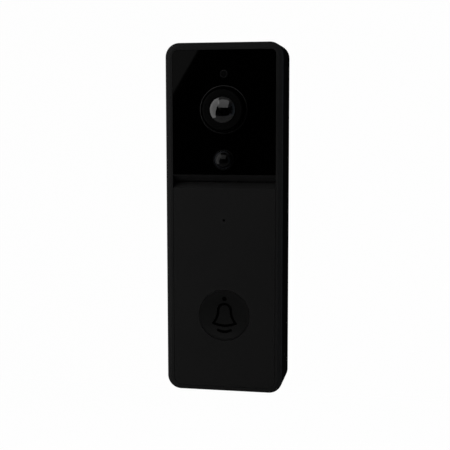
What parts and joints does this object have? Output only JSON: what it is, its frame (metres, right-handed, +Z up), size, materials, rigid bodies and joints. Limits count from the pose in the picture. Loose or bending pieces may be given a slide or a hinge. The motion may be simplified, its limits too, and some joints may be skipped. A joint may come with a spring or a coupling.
{
  "type": "video doorbell",
  "caption": "Slim upright black video doorbell with a gloss camera window, a domed motion sensor, a matte face panel, a round dished bell button and a hook-on wall bracket.",
  "frame": {"origin": "centre of the bracket's face on the wall, level with the middle of the casing", "axes": "+Z up along the slab, -Y towards the visitor, +Y into the wall, +X to the visitor's right"},
  "size_m": [0.0468, 0.0281, 0.1386],
  "materials": {
    "casing": "fine matte texture, black",
    "gloss_black": "polished black",
    "soft_black": "matte black silicone",
    "black_nylon": "matte black moulding",
    "sign_ink": "black inlay",
    "lens_glass": "coated glass",
    "filter_glass": "blue-green coated glass",
    "lamp_resin": "dark clear resin",
    "clear_plastic": "clear moulding",
    "milky_plastic": "dark infra-red lens plastic",
    "steel": "zinc-plated steel",
    "black_steel": "black-oxide steel",
    "brass": "machined brass",
    "can_metal": "tinned steel sheet",
    "board": "green solder mask",
    "chip": "moulded epoxy",
    "flex": "polyimide film",
    "cell_wrap": "foil pouch in film",
    "foam": "closed-cell foam tape",
    "speaker_frame": "black frame with its magnet"
  },
  "bodies": {
    "bracket": {"wall_bracket": "black_nylon", "security_screw": "black_steel"},
    "doorbell": {"rear_housing": "casing", "screw_insert": "brass", "front_housing": "casing", "housing_seal": "soft_black", "housing_screws": "steel", "face_panel": "casing", "camera_window": "gloss_black", "window_adhesive": "foam", "lens_ring": "gloss_black", "lens_shroud": "black_nylon", "lens_glass": "lens_glass", "lens_barrel": "black_nylon", "lens_elements": "lens_glass", "lens_holder": "black_nylon", "image_sensor": "chip", "camera_board": "board", "ir_leds": "lamp_resin", "light_pipe": "clear_plastic", "light_sensor": "chip", "pir_bezel": "black_nylon", "pir_lens": "milky_plastic", "pir_sensor": "can_metal", "button_seal": "soft_black", "button_switch": "chip", "main_board": "board", "board_screws": "steel", "processor_shield": "can_metal", "wifi_module": "can_metal", "microphone": "can_metal", "mic_boot": "soft_black", "camera_ribbon": "flex", "antenna": "flex", "speaker": "speaker_frame", "sound_duct": "soft_black", "battery_pack": "cell_wrap", "battery_foam": "foam", "battery_tail": "flex", "usb_socket": "steel", "reset_switch": "chip", "tamper_switch": "chip"},
    "button": {"bell_button": "casing", "bell_icon": "sign_ink"},
    "switch_plunger": {"switch_plunger": "soft_black"},
    "reset": {"reset_button": "black_nylon"},
    "tamper": {"tamper_plunger": "black_nylon"},
    "flap": {"usb_flap": "soft_black"},
    "ir_filter": {"ir_cut_filter": "filter_glass"}
  },
  "joints": [
    {"name": "lift_off", "type": "slide", "parent": "bracket", "child": "doorbell", "axis": [0, 0, 1], "range_m": [0, 0.0042]},
    {"name": "button_press", "type": "slide", "parent": "doorbell", "child": "button", "axis": [0, 1, 0], "range_m": [0, 0.0005], "stiffness_N_per_m": 300},
    {"name": "plunger_press", "type": "slide", "parent": "doorbell", "child": "switch_plunger", "axis": [0, 1, 0], "range_m": [0, 0.0005]},
    {"name": "reset_press", "type": "slide", "parent": "doorbell", "child": "reset", "axis": [0, 0, 1], "range_m": [0, 0.0004], "stiffness_N_per_m": 100},
    {"name": "tamper_press", "type": "slide", "parent": "doorbell", "child": "tamper", "axis": [0, -1, 0], "range_m": [0, 0.0005], "stiffness_N_per_m": 100},
    {"name": "flap_hinge", "type": "hinge", "parent": "doorbell", "child": "flap", "pos_m": [-0.0084, -0.0166, -0.06872], "axis": [0, 1, 0], "range_deg": [0, 90]},
    {"name": "filter_slide", "type": "slide", "parent": "doorbell", "child": "ir_filter", "axis": [1, 0, 0], "range_m": [0, 0.0049]}
  ],
  "couplings": [
    {"joint": "plunger_press", "follows": "button_press", "ratio": 1}
  ]
}
